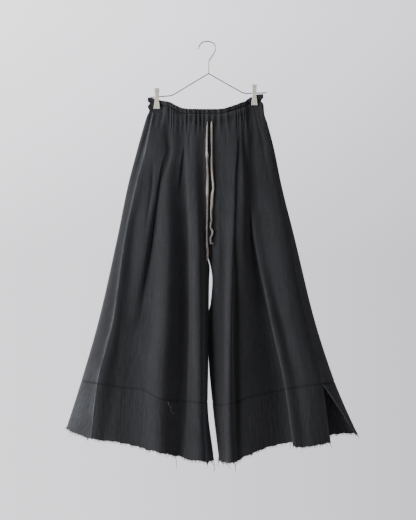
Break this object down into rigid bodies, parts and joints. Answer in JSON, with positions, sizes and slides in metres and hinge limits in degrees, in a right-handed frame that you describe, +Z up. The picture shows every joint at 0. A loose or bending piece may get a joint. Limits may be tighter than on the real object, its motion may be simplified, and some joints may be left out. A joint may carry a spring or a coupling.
{
  "type": "hakama trousers on a clip hanger",
  "caption": "Wide hakama-style trousers in black cloth with a gathered drawstring waist, pleated fronts and frayed hem bands, hung from a wire clip hanger.",
  "frame": {"origin": "underside of the hook's wire at the top of the hook, where it bears on what holds it", "axes": "+Z up, the front of the garment faces -Y, +X to the right of a person who looks at the front"},
  "size_m": [0.7869, 0.1574, 1.1705],
  "materials": {
    "cloth": "matte slubby linen and cotton weave, black",
    "fray": "loose black warp threads",
    "drawstring": "soft unbleached cotton",
    "hanger_wire": "pale brass wire, satin",
    "clip": "cream white, semi-matt"
  },
  "bodies": {
    "root": {"front_leg_left": "cloth", "front_leg_right": "cloth", "back_leg_left": "cloth", "back_leg_right": "cloth", "waist_front": "cloth", "waist_back": "cloth", "hem_band_front_left": "cloth", "hem_band_front_right": "cloth", "hem_band_back_left": "cloth", "hem_band_back_right": "cloth", "fray_front_left": "fray", "fray_front_right": "fray", "fray_back_left": "fray", "fray_back_right": "fray", "drawstring_left": "drawstring", "drawstring_right": "drawstring", "hanger_wire": "hanger_wire", "clip_left_front": "clip", "clip_left_back": "clip", "clip_right_front": "clip", "clip_right_back": "clip"}
  },
  "joints": []
}
